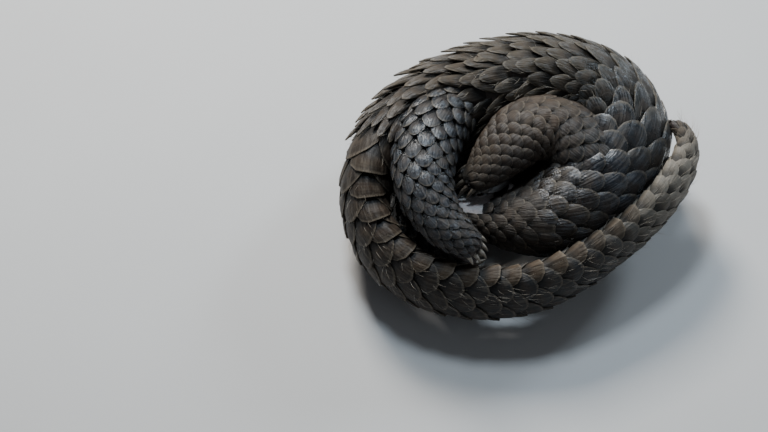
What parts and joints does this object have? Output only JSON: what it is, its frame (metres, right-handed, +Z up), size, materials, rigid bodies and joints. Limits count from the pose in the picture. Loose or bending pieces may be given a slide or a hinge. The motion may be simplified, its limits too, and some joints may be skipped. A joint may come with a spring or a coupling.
{
  "type": "sunda pangolin",
  "caption": "Young Sunda pangolin rolled up on its side, tail wrapped round the outside, covered in overlapping horn scales; a life-size still model.",
  "frame": {"origin": "centre of the model's own box on the floor plan, at the floor it rests on", "axes": "+Z up, out of the animal's right flank; +X to the shoulders' side, away from the tail's root; +Y to the loin, away from the bottom of the tail's loop"},
  "size_m": [0.1889, 0.1541, 0.081],
  "materials": {
    "horn": "satin horn scales",
    "claw": "pale horn",
    "skin": "matt skin",
    "eye": "glossy"
  },
  "bodies": {
    "root": {"claw_hind_right_1": "claw", "claw_hind_right_2": "claw", "claw_hind_right_3": "claw", "claw_hind_right_4": "claw", "claw_hind_right_5": "claw", "claw_fore_right_1": "claw", "claw_fore_right_2": "claw", "claw_fore_right_3": "claw", "claw_fore_right_4": "claw", "claw_fore_right_5": "claw", "hind_foot_right": "horn", "hind_leg_right": "horn", "forefoot_right": "horn", "foreleg_right": "horn", "claw_hind_left_1": "claw", "claw_hind_left_2": "claw", "claw_hind_left_3": "claw", "claw_hind_left_4": "claw", "claw_hind_left_5": "claw", "claw_fore_left_1": "claw", "claw_fore_left_2": "claw", "claw_fore_left_3": "claw", "claw_fore_left_4": "claw", "claw_fore_left_5": "claw", "hind_foot_left": "horn", "hind_leg_left": "horn", "forefoot_left": "horn", "foreleg_left": "horn", "eye_right": "eye", "eye_left": "eye", "ear_right": "skin", "ear_left": "skin", "head": "horn", "neck": "horn", "torso_front": "horn", "torso_middle": "horn", "torso_rear": "horn", "tail_1": "horn", "tail_2": "horn", "tail_3": "horn", "tail_4": "horn", "tail_5": "horn", "tail_6": "horn"}
  },
  "joints": []
}
